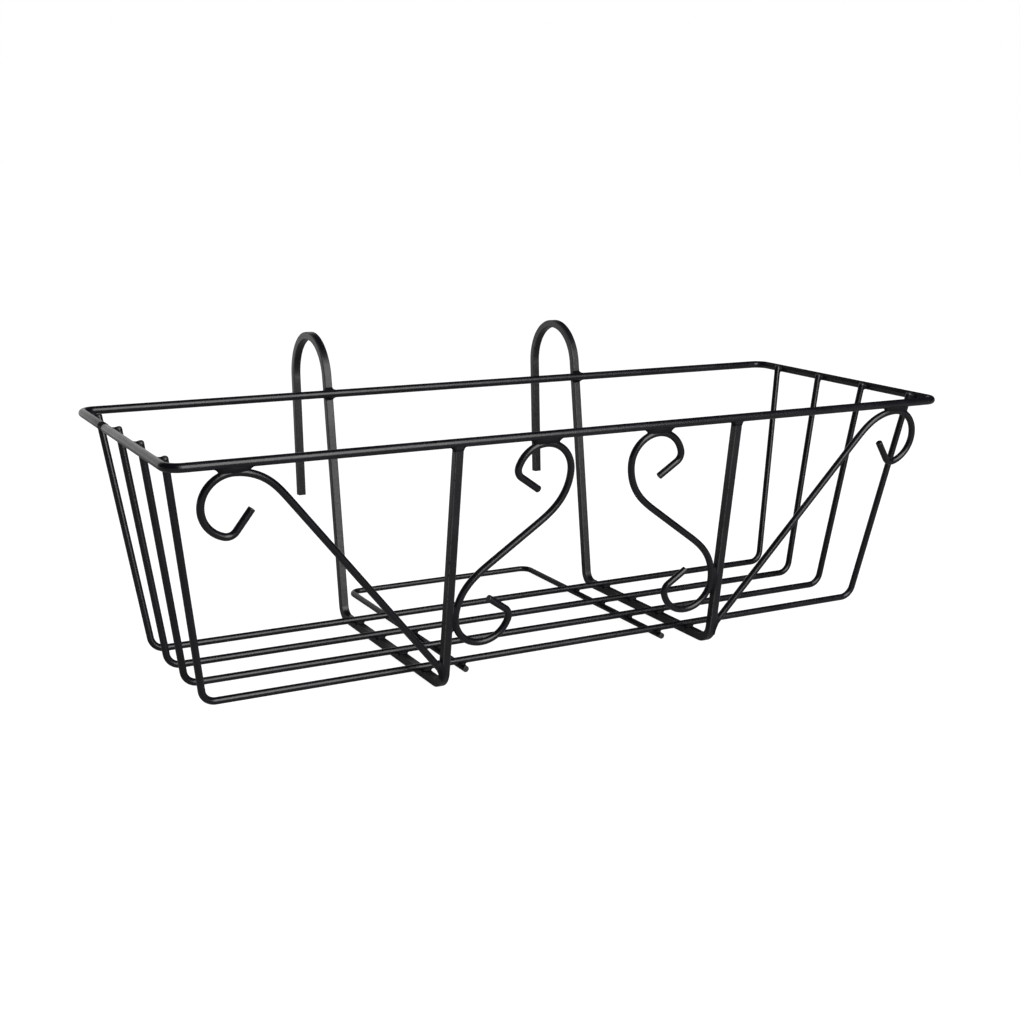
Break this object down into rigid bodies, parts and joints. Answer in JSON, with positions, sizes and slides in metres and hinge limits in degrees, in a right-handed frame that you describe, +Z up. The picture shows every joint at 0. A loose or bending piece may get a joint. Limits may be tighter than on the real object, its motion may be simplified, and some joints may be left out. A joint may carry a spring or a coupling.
{
  "type": "window box planter",
  "caption": "Welded steel rod holder for a window box: a rectangular rim with a wire trough, square-bar brackets that hook over a railing, a rear spacer and scrollwork in front.",
  "frame": {"origin": "under the middle of the whole holder, on the surface that the flat undersides of the bracket arms stand on when it isn't hung up", "axes": "+X along the box, +Y towards the railing that it hangs on, +Z up; the scrolls face -Y"},
  "size_m": [0.61, 0.3006, 0.2188],
  "materials": {
    "rod_coating": "semi-gloss black coating on round steel rod",
    "bar_coating": "semi-gloss black coating on square steel bar"
  },
  "bodies": {
    "root": {"rim": "rod_coating", "basket_wire_1": "rod_coating", "basket_wire_2": "rod_coating", "basket_wire_3": "rod_coating", "basket_wire_4": "rod_coating", "bracket_left": "bar_coating", "bracket_right": "bar_coating", "wall_spacer": "rod_coating", "outer_scroll_left": "rod_coating", "outer_scroll_right": "rod_coating", "inner_scroll_left": "rod_coating", "inner_scroll_right": "rod_coating"}
  },
  "joints": []
}
